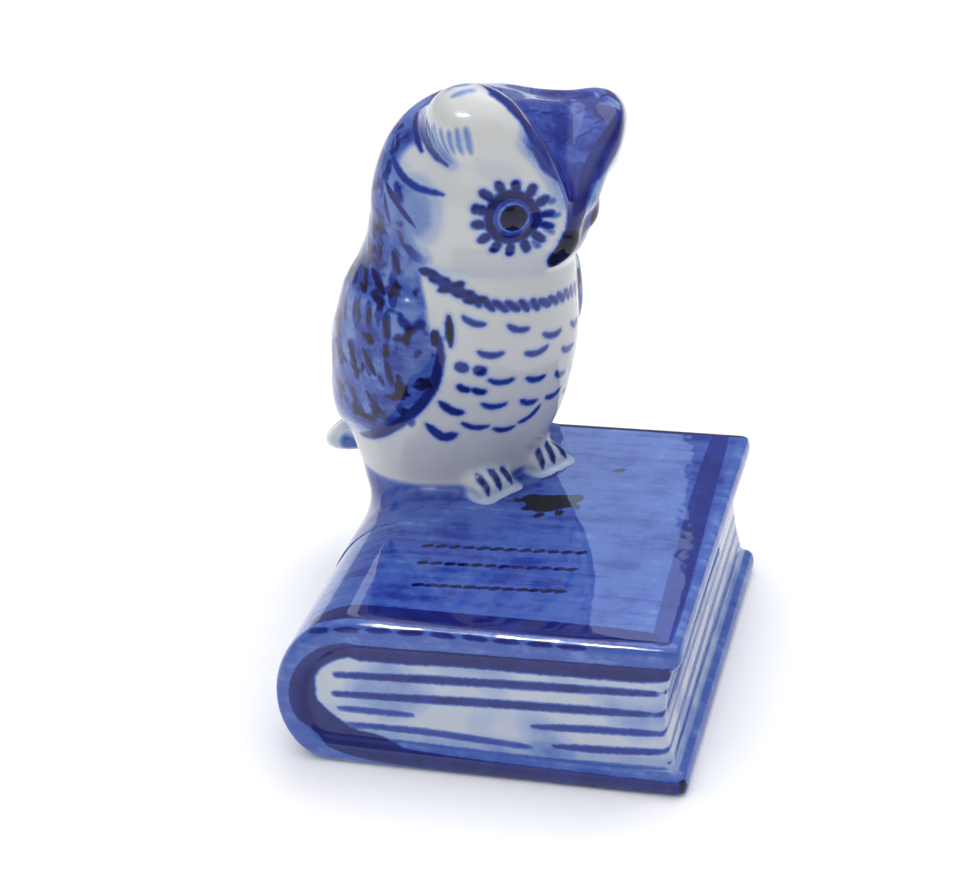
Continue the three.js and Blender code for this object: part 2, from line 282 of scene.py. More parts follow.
# pared flats, each a facing and a distance from the middle of the head
CROWN_FLATS = (((-0.41, -0.24, 0.88), 10.1), ((-0.58, -0.46, 0.67), 10.5),
               ((-0.67, -0.63, 0.38), 10.5), ((-0.68, -0.73, 0.05), 10.7))
EAR_FLATS = (((0.61, 0.63, 0.48), 15.6), ((0.72, 0.67, 0.15), 14.0), ((0.75, 0.63, -0.19), 11.1))
for (a, b, c), depth in CROWN_FLATS + EAR_FLATS:
    flat = a * head_x + b * head_y + c * head_z - depth
    head = carve(head, flat, 1.2)
    if ((a, b, c), depth) in EAR_FLATS:
        owl_fields["left_brow"] = carve(owl_fields["left_brow"], flat, 1.2)
for eye in EYES.values():
    away = [h - e for h, e in zip((head_x, head_y, head_z), eye * 0.84)]
    head = join(head, np.sqrt(sum(a ** 2 for a in away)) - 2.1, 0.7)
owl_fields["owl_head"] = head

owl_field = np.full(owl_grid.shape, REACH * OWL_STEP, np.float32)
owl_label = np.zeros(owl_grid.shape, np.int8)
for i, node in enumerate(OWL_NODES):
    nearer = owl_fields[node] < owl_field
    owl_label[nearer] = i
    softness = SOFTNESS.get(node, 0.5)
    if node == "owl_head":
        softness = softness + NAPE_SOFTNESS * np.clip((3 - head_x) / 8, 0, 1)
    owl_field = join(owl_field, owl_fields[node], softness) if i else owl_fields[node].copy()
del owl_fields, head, crest, roof
book_here = np.minimum(owl_grid.distance("book_cover"), owl_grid.distance("page_block"))
flare = FLARE + (TOE_FLARE - FLARE) * np.clip((head_x - 0.5) / 2, 0, 1)
stands = fill_hollows(join(owl_field, book_here, flare))
stands = blur(stands, GLAZE_BLUR / OWL_STEP)
book_here = blur(fill_hollows(book_here.copy()), GLAZE_BLUR / OWL_STEP)
print("owl grid", owl_grid.shape)


# %% Mesh a field, and keep what isn't the book
def skin_of(grid, field, level=0.0):
    volume = openvdb.FloatGrid(float(field.max()))
    volume.copyFromArray(field)
    spots, quads = volume.convertToQuads(isovalue=level)
    return spots.astype(float) * grid.step + grid.low, quads.astype(np.int64)


def tidy_skin(spots, quads):
    """Drops unused points."""
    used = np.unique(quads)
    renumber = np.zeros(len(spots), np.int64)
    renumber[used] = np.arange(len(used))
    return spots[used], renumber[quads]


owl_spots, owl_quads = skin_of(owl_grid, stands)
middles = owl_spots[owl_quads].mean(axis=1)
above_book = owl_grid.sample(book_here, middles) > OWL_SHOWS
by_owl = owl_grid.sample(owl_field, middles) < FLARE_END
owl_spots, owl_quads = tidy_skin(owl_spots, owl_quads[above_book & by_owl])
print("owl skin:", len(owl_spots), "points")

# %% [markdown]
# ## The book's skin
#
# The cover and the pages are one soft form too: the boards stand a little proud of the pages,
# and the glaze rounds their lips. The hollow inside is filled with a plain block first, so that
# only the outside is meshed.

# %% Build the book's field
book_grid = Grid(cover_low - 1.4, cover_high + 1.4, BOOK_STEP)
x, y, z = book_grid.places()
cover_field = book_grid.distance("book_cover")
page_field = book_grid.distance("page_block")
# the plain block that fills the hollow
core = np.maximum(np.maximum(abs(x) - 15, abs(y) - 19), abs(z - 8.4) - 5)
book_label = (page_field < cover_field).astype(np.int8)
book_field = join(np.minimum(cover_field, core), page_field, 0.4)
book_field = blur(book_field, GLAZE_BLUR / BOOK_STEP)
book_spots, book_quads = skin_of(book_grid, book_field, BOOK_LIFT)
print("book skin:", len(book_spots), "points")


# %% [markdown]
# ## Unevenness of the hand
#
# The castings were scraped and sponged by hand. A slow, shallow noise of less than a tenth of a
# millimetre keeps the long surfaces from looking machined. It shows mostly in the reflections.

# %% Normals and the hand's unevenness
def normals_of(spots, quads):
    a, b, c, d = (spots[quads[:, i]] for i in range(4))
    faces = np.cross(c - a, d - b)
    total = np.zeros_like(spots)
    for i in range(4):
        np.add.at(total, quads[:, i], faces)
    return total / np.maximum(np.linalg.norm(total, axis=1, keepdims=True), 1e-9)


def sponge(spots, quads, depth=0.07, size=4.5):
    push = np.array([noise.noise(Vector(p) / size) for p in spots])
    return spots + normals_of(spots, quads) * (push * depth)[:, None]


owl_spots = sponge(owl_spots, owl_quads)
book_spots = sponge(book_spots, book_quads, depth=0.05, size=11)
book_spots[:, 2] = np.maximum(book_spots[:, 2], 0.0)

# %% [markdown]
# ## A brush
#
# A stroke is a path that lies on the skin, with a half width along it and a load of colour. For
# every point of the skin we keep the distance to the nearest stroke's edge. A distance changes
# evenly from point to point, so the edge stays crisp between them, and the glaze material can
# make it bleed. There are two coats: pale strokes under dark ones.

# %% Press a path onto the skin
trees = {
    "owl": BVHTree.FromPolygons(owl_spots.tolist(), owl_quads.tolist()),
    "book": BVHTree.FromPolygons(book_spots.tolist(), book_quads.tolist()),
}


def smooth_path(points, between=4):
    """A curve through the points, the way a brush travels."""
    points = np.asarray(points, float)
    if len(points) < 3:
        shares = np.linspace(0, 1, between + 1)[:, None]
        return points[0] * (1 - shares) + points[-1] * shares
    ends = np.vstack([2 * points[0] - points[1], points, 2 * points[-1] - points[-2]])
    path = []
    for i in range(1, len(ends) - 2):
        a, b, c, d = ends[i - 1:i + 3]
        for t in np.arange(between) / between:
            path.append(0.5 * (2 * b + (c - a) * t + (2 * a - 5 * b + 4 * c - d) * t ** 2
                               + (3 * b - a - 3 * c + d) * t ** 3))
    return np.array(path + [points[-1]])


def press(points, skin="owl"):
    """Moves points to the nearest place on the skin. Returns them and the skin's normals."""
    found = [trees[skin].find_nearest(Vector(p)) for p in points]
    return np.array([f[0] for f in found]), np.array([f[1] for f in found])


def stroke(points, width, load=0.9, skin="owl", taper=0.6):
    """One brush stroke: its path on the skin, half widths along it and its load of cobalt."""
    path, _ = press(smooth_path(points), skin)
    share = np.linspace(-1, 1, len(path))
    return path, width * (1 - taper * share ** 4), load


def lay(spots, strokes, reach=1.2):
    """The distance of each point of the skin from the nearest stroke's edge, and its load."""
    edge = np.full(len(spots), reach)
    load = np.zeros(len(spots))
    for path, widths, amount in strokes:
        far = reach + widths.max()
        near = np.flatnonzero(((spots > path.min(0) - far) & (spots < path.max(0) + far)).all(1))
        spot = spots[near]
        for a, b, wide_a, wide_b in zip(path[:-1], path[1:], widths[:-1], widths[1:]):
            run = b - a
            along = np.clip((spot - a) @ run / max(run @ run, 1e-9), 0, 1)
            gap = np.linalg.norm(spot - a - along[:, None] * run, axis=1)
            gap -= wide_a + (wide_b - wide_a) * along
            closer = gap < edge[near]
            edge[near[closer]] = gap[closer]
            load[near[closer]] = amount
    return edge, load


# %% [markdown]
# ## Rows of dabs
#
# Most of the painting is one quick dab repeated: along the collar, across the belly, round each
# eye, down the wings, and in three short rows on the book. A Geometry Nodes tree makes a row: it
# walks along a path, sets a short line at even steps, turns it by a slant and shakes it a
# little. The lines are only the middles of the strokes, and `lay` turns them into paint.

# %% One small function adds a node
def add(tree, kind, links=(), **settings):
    """Adds a node. Settings are its own properties or, by name, its unlinked inputs.

    Links are pairs of a socket, or a plain number, and the input that takes it.
    """
    node = tree.nodes.new(kind)
    for name, value in settings.items():
        if hasattr(node, name):
            setattr(node, name, value)
        else:
            key = name.replace("_", " ")
            socket = next(s for s in node.inputs if s.name == key and s.enabled)
            socket.default_value = value
    for source, target in links:
        if isinstance(source, (int, float)):
            node.inputs[target].default_value = source
        else:
            tree.links.new(source, node.inputs[target])
    return node


# %% The tree that makes a row of dabs
rows = bpy.data.node_groups.new("row of dabs", "GeometryNodeTree")
for title, kind in (("Path", "Geometry"), ("Dabs", "Int"), ("Dab Length", "Float"), ("Sag", "Float"),
                    ("Slant", "Float"), ("Shake", "Float"), ("Seed", "Int"), ("Paint", "Material")):
    rows.interface.new_socket(title, in_out="INPUT", socket_type="NodeSocket" + kind)
rows.interface.new_socket("Rows", in_out="OUTPUT", socket_type="NodeSocketGeometry")
given = rows.nodes.new("NodeGroupInput").outputs
curve = add(rows, "GeometryNodeMeshToCurve", [(given["Path"], "Mesh")])
steps = add(rows, "GeometryNodeResampleCurve", [(curve.outputs[0], "Curve"), (given["Dabs"], "Count")])
line = add(rows, "GeometryNodeMeshLine", count_mode="TOTAL", mode="END_POINTS", Count=5)
for name, sign in (("Start Location", -0.5), ("Offset", 0.5)):
    end = add(rows, "ShaderNodeMath", [(given["Dab Length"], 0), (sign, 1)], operation="MULTIPLY")
    place = add(rows, "ShaderNodeCombineXYZ", [(end.outputs[0], "X")])
    rows.links.new(place.outputs[0], line.inputs[name])
spot = add(rows, "ShaderNodeSeparateXYZ", [(rows.nodes.new("GeometryNodeInputPosition").outputs[0], 0)])
share = add(rows, "ShaderNodeMath", [(spot.outputs["X"], 0), (given["Dab Length"], 1)], operation="DIVIDE")
square = add(rows, "ShaderNodeMath", [(share.outputs[0], 0), (share.outputs[0], 1)], operation="MULTIPLY")
lift = add(rows, "ShaderNodeMath", [(square.outputs[0], 0), (given["Sag"], 1)], operation="MULTIPLY")
lift = add(rows, "ShaderNodeMath", [(lift.outputs[0], 0), (4.0, 1)], operation="MULTIPLY")
bend = add(rows, "ShaderNodeCombineXYZ", [(lift.outputs[0], "Y")])
smile = add(rows, "GeometryNodeSetPosition", [(line.outputs[0], "Geometry"), (bend.outputs[0], "Offset")])
facing = add(rows, "GeometryNodeInputNamedAttribute", data_type="FLOAT_VECTOR", Name="skin_normal")
along = rows.nodes.new("GeometryNodeInputTangent")
turn = add(rows, "FunctionNodeAlignRotationToVector", [(facing.outputs[0], "Vector")], axis="Z")
turn = add(rows, "FunctionNodeAlignRotationToVector",
           [(turn.outputs[0], "Rotation"), (along.outputs[0], "Vector")], axis="X", pivot_axis="Z")
least = add(rows, "ShaderNodeMath", [(given["Shake"], 0), (-1.0, 1)], operation="MULTIPLY")
wobble = add(rows, "FunctionNodeRandomValue", data_type="FLOAT")
sockets = [s for s in wobble.inputs if s.enabled]
for source, name in ((least.outputs[0], "Min"), (given["Shake"], "Max"), (given["Seed"], "Seed")):
    rows.links.new(source, next(s for s in sockets if s.name == name))
wobbled = next(s for s in wobble.outputs if s.enabled)
slant = add(rows, "ShaderNodeMath", [(wobbled, 0), (given["Slant"], 1)], operation="ADD")
spin = add(rows, "FunctionNodeAxisAngleToRotation", [(slant.outputs[0], "Angle")], Axis=(0, 0, 1))
turn = add(rows, "FunctionNodeRotateRotation",
           [(turn.outputs[0], "Rotation"), (spin.outputs[0], "Rotate By")], rotation_space="LOCAL")
size = add(rows, "ShaderNodeMath", [(wobbled, 0), (0.7, 1), (1.0, 2)], operation="MULTIPLY_ADD")
dabs = add(rows, "GeometryNodeInstanceOnPoints",
           [(steps.outputs[0], "Points"), (smile.outputs[0], "Instance"),
            (turn.outputs[0], "Rotation"), (size.outputs[0], "Scale")])
real = add(rows, "GeometryNodeRealizeInstances", [(dabs.outputs[0], "Geometry")])
painted = add(rows, "GeometryNodeSetMaterial",
              [(real.outputs[0], "Geometry"), (given["Paint"], "Material")])
add(rows, "NodeGroupOutput", [(painted.outputs[0], 0)])
INPUTS = {s.name: s.identifier for s in rows.interface.items_tree if s.in_out == "INPUT"}
cobalt_mark = bpy.data.materials.new("cobalt brush mark")


# %% Run the tree for one row
def row(points, dabs, length, width, load=0.9, slant=0, sag=0.0, shake=0.15, seed=1, skin="owl",
        taper=0.5):
    """Brush strokes set along a path by the tree, as `stroke` gives them."""
    path, facing = press(smooth_path(points), skin)
    mesh = bpy.data.meshes.new("row path")
    mesh.from_pydata(path.tolist(), [(i, i + 1) for i in range(len(path) - 1)], [])
    mesh.attributes.new("skin_normal", "FLOAT_VECTOR", "POINT").data.foreach_set(
        "vector", facing.ravel())
    holder = put("row path", mesh)
    modifier = holder.modifiers.new("row of dabs", "NODES")
    modifier.node_group = rows
    for name, value in (("Dabs", dabs), ("Dab Length", float(length)), ("Sag", float(sag)),
                        ("Slant", math.radians(slant)), ("Shake", float(shake)), ("Seed", seed),
                        ("Paint", cobalt_mark)):
        modifier[INPUTS[name]] = value
    graph = bpy.context.evaluated_depsgraph_get()
    made = bpy.data.meshes.new_from_object(holder.evaluated_get(graph))
    spots = np.array([v.co for v in made.vertices])
    bpy.data.objects.remove(holder)
    bpy.data.meshes.remove(made)
    return [stroke(spots[i:i + 5], width, load, skin, taper) for i in range(0, len(spots), 5)]


# %% [markdown]
# ## Painting the owl
#
# Now the painter's work, in the painter's order: collar, belly, feet, eyes, forehead, beak, ears
# and cheeks, wings, back and tail.
# Places are given on the owl as degrees round it from straight ahead (minus is its right side)
# and millimetres up from the book, and on the head in the head's own frame.

# %% Places on the owl
OWL_ROUND = 11.0  # mm out from the owl's middle, where its paths start before they are pressed


def round_path(*places, side=1):
    """Places round the owl, for its left, or mirrored to its right when side is -1."""
    turned = [(math.radians(turn * side), height) for turn, height in places]
    return [from_owl([1 + math.cos(a) * OWL_ROUND, math.sin(a) * OWL_ROUND, h]) for a, h in turned]


def head_path(*places, side=1):
    return [from_head([x, y * side, z]) for x, y, z in places]


dark, pale = [], []

# %% Collar: slanted dashes under the chin, heaviest at the shoulders
for side in (-1, 1):
    high = 0 if side < 0 else -3.6
    collar = round_path((62, 26.0 + high), (50, 24.6 + high), (38, 23.2 + high * 0.8), side=side)
    dark.append(stroke(collar, 0.6, 0.74))
    dark += row(collar, 5, 2.0, 0.45, 0.86, slant=-30 * side, shake=0.3, seed=9 + side)
front = round_path((-44, 23.9), (-30, 22.5), (-14, 21.8), (2, 21.2), (18, 20.8), (34, 20.2))
dark += row(front, 13, 1.6, 0.42, 0.72, slant=-38, shake=0.25, seed=3)
pale.append(stroke(front, 0.45, 0.5))

# %% Belly: five rows of short smiling dashes, a few of them doubled
belly = [
    ([(-40, 20.8), (-20, 19.6), (11, 16.9), (30, 16.6)], 4, 2),
    ([(-32, 17.1), (-12, 16.5), (20, 14.6)], 3, 5),
    ([(-27, 13.9), (-11, 13.3), (14, 12.0), (36, 11.0)], 4, 7),
    ([(-31, 10.9), (-8, 10.2), (12, 9.5), (34, 8.2)], 4, 9),
    ([(-42, 8.4), (-22, 7.1), (-6, 8.1)], 3, 4),
]
for places, count, seed in belly:
    dark += row(round_path(*places), count, 2.5, 0.35, 0.7, sag=0.3, shake=0.2, seed=seed)
dark += row(round_path((-47, 13.6), (-39, 13.1)), 2, 1.3, 0.42, 0.76, sag=0.2, shake=0.3, seed=8)
dark += row(round_path((-47, 16.1), (-38, 15.6)), 2, 0.7, 0.6, 0.74, shake=0.3, seed=18)
dark.append(stroke(round_path((-69, 9.0), (-61, 7.3), (-53, 7.6)), 0.6, 0.7))
dark.append(stroke(round_path((-60, 12.0), (-54, 10.9), (-48, 10.6)), 0.5, 0.72))

# %% Feet: three claws on each, drawn with one flick
for side in (-1, 1):
    for toe in (-1, 0, 1):
        claw = from_owl([[6.4, side * 3.9 + toe * 1.1, 1.9], [8.6, side * 3.9 + toe * 1.7, 0.6]])
        dark.append(stroke(claw, 0.4, 0.8, taper=0.6))

# %% Eyes: a black pupil, a dark ring and a ring of petals
for side, eye in EYES.items():
    across = np.cross(eye / np.linalg.norm(eye), [0, 0, 1])
    across /= np.linalg.norm(across)
    over = np.cross(across, eye / np.linalg.norm(eye))

    def ring(radius, start=0.0, end=1.0, steps=20):
        turns = np.linspace(start, end, steps) * 2 * math.pi
        return from_head([eye + radius * (math.cos(t) * across + math.sin(t) * over) for t in turns])

    middle = press(from_head([eye, eye]))[0]
    dark.append((middle, np.full(2, 1.42), 0.97))
    dark.append(stroke(ring(2.35), 0.52, 0.82, taper=0))
    pale.append(stroke(ring(1.75), 0.35, 0.62, taper=0))
    dark += row(ring(3.45, 0.02, 1.02), 15, 1.05, 0.5, 0.76, slant=90, shake=0.16, seed=6 + side)
    pale += row(ring(3.9, 0.40, 0.62), 4, 0.9, 0.34, 0.5, slant=90, shake=0.2, seed=16 + side)

# %% Brows and forehead: a dark V between the pale ridges, streaked crown
for side in (-1, 1):
    fold = head_path((6.0, 8.8, 9.9), (8.2, 8.0, 8.8), (9.8, 5.6, 7.0),
                     (10.8, 3.2, 5.2), (11.5, 1.6, 3.0), (12.0, 0.8, -0.2), side=side)
    dark.append(stroke(fold, 0.8, 0.74, taper=0.4))
    pale.append(stroke(head_path((7.5, 8.8, 9.6), (10.4, 5.0, 6.0), (10.8, 1.4, 2.0), side=side),
                       1.3, 0.7))
dark += row(head_path((5.0, -8.5, 9.6), (6.0, -3.0, 8.8), (6.5, 3.0, 8.6), (7.0, 8.5, 9.2)), 9, 2.6, 0.28,
            0.76, slant=14, shake=0.3, seed=12)
dark += row(head_path((8.6, -6.0, 8.0), (8.8, 0.0, 6.6), (8.8, 6.0, 7.8)), 6, 2.8, 0.3, 0.72, slant=4,
            shake=0.35, seed=13)
dark += row(head_path((0.5, -7.5, 8.6), (1.0, 0.0, 9.6), (0.5, 7.5, 8.6)), 8, 2.4, 0.3, 0.72, slant=24,
            shake=0.5, seed=14)
dark.append(stroke(head_path((10.0, 1.6, 4.6), (10.9, 0.2, 1.8), (11.8, -0.4, 0.2)), 0.55, 0.74))
dark += [stroke(head_path((8.0, 5.6, 9.2), (9.8, 7.0, 8.6)), 1.1, 0.7),
         stroke(head_path((6.8, 8.0, 9.6), (8.6, 9.4, 9.0)), 1.0, 0.74)]

# %% Beak: navy at its root, and black down to its tip
dark.append(stroke(head_path((12.2, 0, 1.4), (12.9, 0, -1.6)), 1.3, 0.76, taper=0.4))
dark.append(stroke(head_path((12.9, 0, -1.6), (12.6, 0, -4.0), (11.9, 0, -5.9)), 1.6, 0.96, taper=0.3))

# %% Ears and cheeks: soft feather streaks and a line round each pale cheek
for side in (-1, 1):
    for low, high in (((1.2, 10.3, 4.0), (-2.6, 8.2, 7.0)), ((4.6, 9.5, 3.6), (-0.4, 8.3, 7.0)),
                      ((3.0, 10.0, 4.8), (1.0, 9.0, 7.6))):
        dark.append(stroke(head_path(low, high, side=side), 0.5, 0.72))
    pale += row(head_path((0.4, 9.0, 7.2), (3.6, 10.8, 6.6), (8.0, 11.0, 6.8), side=side), 11, 2.6,
                0.3, 0.34, slant=90, shake=0.25, seed=21)
    pale += row(head_path((2.0, 8.8, 9.2), (6.0, 10.4, 9.6), side=side), 5, 2.0, 0.3, 0.3, slant=70,
                shake=0.4, seed=24)
    cheek = head_path((-3.7, 9.7, 4.4), (-1.6, 11.1, 2.2), (1.4, 11.3, 0.8),
                      (4.6, 10.2, 0.6), side=side)
    dark.append(stroke(cheek, 0.42, 0.66))
    dark.append(stroke(head_path((-2.4, 11.2, 0.3), (-0.1, 11.4, -1.5),
                                 (1.9, 10.7, -3.1), side=side), 0.45, 0.76))
    dark.append(stroke(head_path((-2.2, 11.1, -0.8), (-1.7, 10.4, -3.8), side=side), 0.42, 0.7))

# %% Wings: a dark stroke round the lower front edge, a bar at the shoulder, feather streaks
for side in (-1, 1):
    edge = round_path((58, 19.2), (60, 16.4), (66, 13.4), (76, 10.8), (90, 8.6), (104, 7.0),
                      (118, 6.2), side=side)
    dark.append(stroke(edge, 0.7, 0.74, taper=0.6))
    dark.append(stroke(round_path((52, 21.6), (52, 18.4), side=side), 0.42, 0.98))
    dark.append(stroke(round_path((62, 20.0), (62, 18.6), side=side), 0.55, 0.9))
    for low, high, count, seed, turn in (
            (26.0, 26.5, 5, 35, 60), (22.5, 23.5, 6, 31, 62), (18.5, 20.0, 6, 32, 66),
            (14.2, 15.5, 6, 33, 70), (10.2, 11.0, 5, 34, 74)):
        lane = round_path((82, high), (104, high + 0.4), (130, low),
                          (158, low - 1), side=side)
        dark += row(lane, count + 2, 2.4, 0.5, 0.86, slant=turn * side, shake=0.6, seed=seed + side)
        pale += row(lane, count + 2, 3.4, 0.7, 0.66, slant=turn * side, shake=0.5, seed=seed + 40)

# %% Back of the head, nape and between the wings
for height, reach_round, seed in ((40.0, 62, 51), (36.5, 70, 52), (33.0, 72, 53), (29.5, 76, 54),
                                  (26.0, 74, 55), (21.0, 20, 56), (16.0, 16, 57), (11.0, 14, 58)):
    lane = round_path((180 - reach_round, height), (180, height + 0.6), (180 + reach_round, height))
    count = max(3, int(reach_round / 9))
    dark += row(lane, count + 2, 2.2, 0.5, 0.8, slant=84, shake=0.6, seed=seed)
    pale += row(lane, count + 1, 3.0, 0.7, 0.62, slant=80, shake=0.5, seed=seed + 20)

# %% Tail and base
dark += row(from_owl([[-17, -4.5, 1.2], [-18.5, 0, 1.0], [-17, 4.5, 1.2]]), 5, 2.4, 0.3, 0.5, slant=90,
            shake=0.3, seed=61)
print(len(dark), "dark strokes and", len(pale), "pale ones on the owl")


# %% [markdown]
# ## Washes on the owl
#
# Under the strokes lies a thin wash, put on with a wide wet brush. It is a smooth value from 0,
# bare white, to 1, black. Each region is a soft step in the owl's or the head's own frame. One
# step is painted shade, not wash: the underside of the head is darkened below the chin.

# %% Soft steps
def ease(value, start, end):
    t = np.clip((value - start) / (end - start), 0, 1)
    return t * t * (3 - 2 * t)


def blotches(spots, size, seed):
    """Slow random values, -1 to 1, for uneven washes."""
    shift = Vector((seed * 7.3, seed * 3.1, seed * 5.7))
    return np.array([noise.noise(Vector(p) / size + shift) for p in spots])


# %% The owl's wash
place = in_owl(owl_spots)
head_place = in_head(owl_spots)
angle = np.abs(np.degrees(np.arctan2(place[:, 1], place[:, 0] - 1)))
height = place[:, 2]
hx, hy, hz = head_place.T
on_head = ease(height, 24.5, 27.5) * ease(np.linalg.norm(head_place, axis=1), 16, 14.5)
mottle = blotches(owl_spots, 3.2, 1)
clotted = ease(blotches(owl_spots, 1.6, 3) + 0.5 * blotches(owl_spots, 0.8, 6), 0.12, 0.45)


def head_patch(centre, edge, core, scale=(1, 1, 1)):
    """A soft round patch on each side of the head: 0 at its edge, 1 inside its core."""
    away = (np.stack([hx, np.abs(hy), hz], axis=1) - centre) * scale
    return ease(np.linalg.norm(away, axis=1), edge, core)


fold_width = np.interp(hz, [-0.3, 1.9, 3.5, 4.9, 6.5, 7.9, 9.2, 9.9],
                       [1.2, 2.1, 3.0, 4.4, 6.8, 8.5, 9.8, 10.4])
roof_side = np.abs(hy) - fold_width
on_roof = ease(roof_side, 0.4, -0.3) * ease(hz, -0.8, 0.4) * ease(hx, -1.0, 2.5)
back = ease(hx + 1.4 * mottle, 3.6, -0.4)
cheek_patch = head_patch((1.6, 10.4, 3.6 / 1.3), 3.6, 2.2, (1, 1, 1.3))
ear_smear = head_patch((4.2, 9.8, 5.6), 3.4, 1.0)
ear_top = head_patch((4.4, 10.4, 8.4), 4.2, 2.0, (0.8, 1, 1))
behind_eye = head_patch((1.6, 10.9, -1.6), 4.6, 1.0)
head_wash = (0.42 + 0.24 * mottle + 0.34 * clotted) * back
head_wash = np.maximum(head_wash, 0.46 * ear_smear)
head_wash *= 1 - 0.9 * cheek_patch * ease(hz, -0.5, 1.5)
head_wash = np.maximum(head_wash, (0.34 + 0.2 * mottle) * behind_eye)
# painted shade: the head's underside below the chin is darkened, where the head overhangs the body
head_wash = np.maximum(head_wash, 0.2 * ease(hz, -6.2, -8.2))
head_wash = head_wash * (1 - on_roof) + on_roof * (0.6 + 0.2 * mottle)
head_wash = np.where(roof_side > 0.2, head_wash * (1 - 0.65 * ear_top), head_wash)
head_wash = np.maximum(head_wash, 0.24 * ease(roof_side, 2.2, 0.3) * ease(hz, 0, 1.5) * ease(hx, 4, 7))

wing_front = np.interp(height, [4, 6, 8.2, 10.8, 14, 18, 21.5, 25], [120, 102, 84, 70, 61, 58, 62, 66])
on_wing = ease(angle, wing_front - 1.5, wing_front + 2.0) * ease(height, 4.2, 6.4)
tip = ease(height, 9.5, 6.5) * ease(angle, 95, 115)
body_wash = on_wing * (0.44 + 0.3 * mottle + 0.42 * clotted) * (1 - 0.6 * tip)
toes = ease(np.hypot(place[:, 0] - 7.8, np.abs(place[:, 1]) - 3.9), 3.6, 2.6)
on_tail = ease(-place[:, 0], 12.6, 14.0) * ease(np.abs(place[:, 1]), 9, 7)
body_wash = np.maximum(body_wash, 0.56 * ease(height, 1.3, 0.4) * (1 - 0.8 * toes) * (1 - on_tail))
body_wash = np.maximum(body_wash, on_tail * (0.14 + 0.2 * mottle + 0.2 * ease(-place[:, 0], 18, 20.5)))
owl_wash = np.clip(head_wash * on_head + body_wash * (1 - on_head), 0, 1)
print("wash from", round(float(owl_wash.min()), 2), "to", round(float(owl_wash.max()), 2))

# %% [markdown]
# ## Painting the book
#
# The cover has a streaky mid-blue wash, paler over the round spine, with darker border strokes
# set in from the edges. Three short rows of dabs stand where a title would. The pages are white
# with drawn lines, which run round the corner on to the fore-edge, and a wide U of cobalt
# follows the inside of the cover at each end.

# %% Strokes on the cover
y_low, y_high = cover_low[1], cover_high[1]
TOP = BOOK_TOP
book_dark = []


def book_stroke(points, width, load, taper=0.6):
    book_dark.append(stroke(points, width, load, "book", taper))


border = [(-15.6, y_low + 2.2, 15.4), (-11, y_low + 2.1, TOP), (0, y_low + 1.9, TOP),
          (10, y_low + 1.9, TOP), (17.4, y_low + 1.8, TOP)]
book_stroke(border, 1.4, 0.76, taper=0.35)
book_stroke([(18.1, y_low + 1.6, TOP), (17.7, -8, TOP), (17.2, 6, TOP), (16.9, 20.6, TOP)],
            1.3, 0.7, taper=0.2)
book_stroke([(-12, y_high - 0.5, TOP), (2, y_high - 0.4, TOP), (19, y_high - 0.4, TOP)],
            1.0, 0.9, taper=0.1)
for y_row, start, end, seed in ((-6.5, -8.0, 7.4, 71), (-9.8, -7.6, 7.2, 72), (-14.0, -7.0, 7.0, 73)):
    path = [(start, y_row - 0.4, TOP), (0, y_row, TOP), (end, y_row + 0.5, TOP)]
    book_dark += row(path, 12, 0.95, 0.42, 0.9, slant=18, shake=0.12, seed=seed, skin="book", taper=0.3)

# %% A pool of thick cobalt at the owl's feet, and a chip in the glaze
for across, along, wide in ((-0.2, 4.0, 1.1), (1.2, 3.2, 1.9), (2.6, 3.8, 1.6), (3.9, 4.6, 0.9)):
    book_stroke([(across, along, TOP), (across + 0.8, along + 0.3, TOP)], wide, 0.98)
book_dark += row([(-1.4, 3.6, TOP), (1.4, 0.8, TOP), (4.6, 2.6, TOP), (4.8, 5.2, TOP)], 6, 0.8, 0.5,
                 0.94, slant=50, shake=0.8, seed=75, skin="book")
book_stroke([(7.2, 11.3, TOP), (8.3, 11.7, TOP)], 0.45, 1.0)

# %% Ends: the U of cobalt, the page lines and the dabs along the lip
for y_end, seed in ((y_low, 81), (y_high, 82)):
    sway = [(18.8, y_end, 13.3), (8, y_end, 13.2), (-6, y_end, 13.0), (-12, y_end, 12.8),
            (-15.2, y_end, 11.6), (-17.0, y_end, 9.0), (-16.9, y_end, 6.2), (-15.0, y_end, 3.6),
            (-12, y_end, 2.2), (-6.4, y_end, 1.5), (3, y_end, 1.1), (12, y_end, 1.0), (19, y_end, 1.0)]
    book_stroke(sway, 1.15, 0.76, taper=0.2)
    book_stroke([(-16.2, y_end, 10.4), (-16.9, y_end, 7.6), (-15.9, y_end, 5.0),
                 (-12.6, y_end, 2.9)], 1.4, 0.76)
    book_stroke([(-15.6, y_end, 4.4), (-12, y_end, 3.0), (-7.0, y_end, 2.0)], 1.2, 0.76)
    lines = (
        ([(-13.6, 10.0), (0, 10.6), (17.6, 11.2)], 0.5, 0.72),
        ([(-13.9, 7.8), (2, 8.4), (18.4, 8.9)], 0.5, 0.72),
        ([(-13.6, 6.2), (-10, 6.2), (-6.2, 6.2)], 0.4, 0.6),
        ([(5.6, 6.2), (12, 6.6), (18.4, 6.8)], 0.44, 0.66),
        ([(-12.6, 4.4), (-5.4, 4.4), (1.6, 4.0), (5.4, 3.8)], 0.44, 0.6),
        ([(7.6, 4.2), (13, 4.4), (18.4, 4.8)], 0.44, 0.68),
        ([(-9, 3.0), (2, 2.6), (12, 2.7), (18.4, 2.9)], 0.34, 0.5),
    )
    for places, width, load in lines:
        book_stroke([(a, y_end * 0.97, b) for a, b in places], width, load, taper=0.35)
    book_dark += row([(-15, y_end, 15.4), (-6, y_end, 15.9), (4, y_end, 15.9), (10, y_end, 15.9)], 9,
                     2.6, 0.42, 0.74, shake=0.06, seed=seed, skin="book")
    book_stroke([(19.9, y_end, 0.6), (20.2, y_end * 0.99, 1.9)], 0.6, 0.96)

